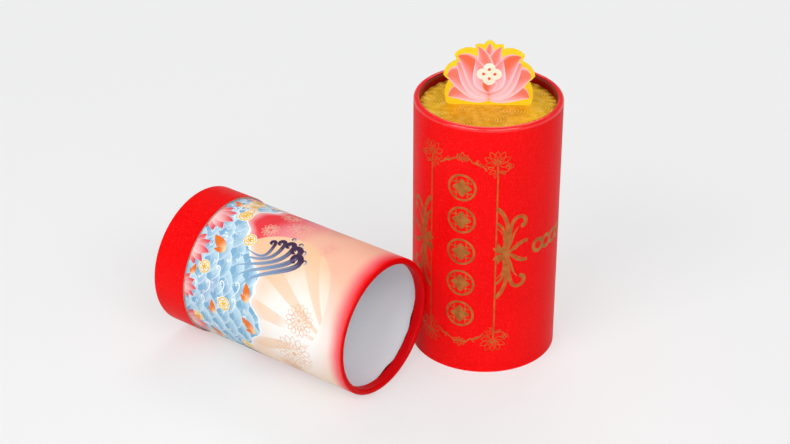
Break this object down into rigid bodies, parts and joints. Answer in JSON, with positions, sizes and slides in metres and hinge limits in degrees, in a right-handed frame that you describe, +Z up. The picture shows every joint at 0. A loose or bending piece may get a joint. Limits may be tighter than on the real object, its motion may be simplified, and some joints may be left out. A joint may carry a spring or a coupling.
{
  "type": "gift tube box",
  "caption": "Round board gift tube: a printed base tube lying open beside its red slide-over sleeve lid, with rolled rims, a gold disc and a lotus card.",
  "frame": {"origin": "middle of the floor plan, at floor height", "axes": "+X along the lying base tube towards its open mouth, +Z up along the standing sleeve, +Y from the base tube to the sleeve"},
  "size_m": [0.1824, 0.157, 0.1819],
  "materials": {
    "red_paper": "semi-gloss",
    "grey_board": "matte",
    "gold_foil": "metallic foil",
    "card_print": "semi-gloss print",
    "neck_print": "semi-gloss print",
    "lining_paper": "matte"
  },
  "bodies": {
    "base_tube": {"base_band": "grey_board", "band_wrap": "red_paper", "base_disc": "grey_board", "base_facing": "red_paper", "neck_tube": "grey_board", "neck_wrap": "neck_print", "neck_lining": "lining_paper", "floor_paper": "lining_paper"},
    "sleeve": {"sleeve_tube": "grey_board", "sleeve_wrap": "red_paper", "top_disc": "grey_board", "gold_foil": "gold_foil"},
    "card": {"lotus_card": "card_print"}
  },
  "joints": [
    {"name": "sleeve_lift", "type": "slide", "parent": "base_tube", "child": "sleeve", "axis": [0, 0, 1], "range_m": [0, 0.108]},
    {"name": "card_pull", "type": "slide", "parent": "sleeve", "child": "card", "axis": [0, 0, 1], "range_m": [0, 0.03]}
  ]
}
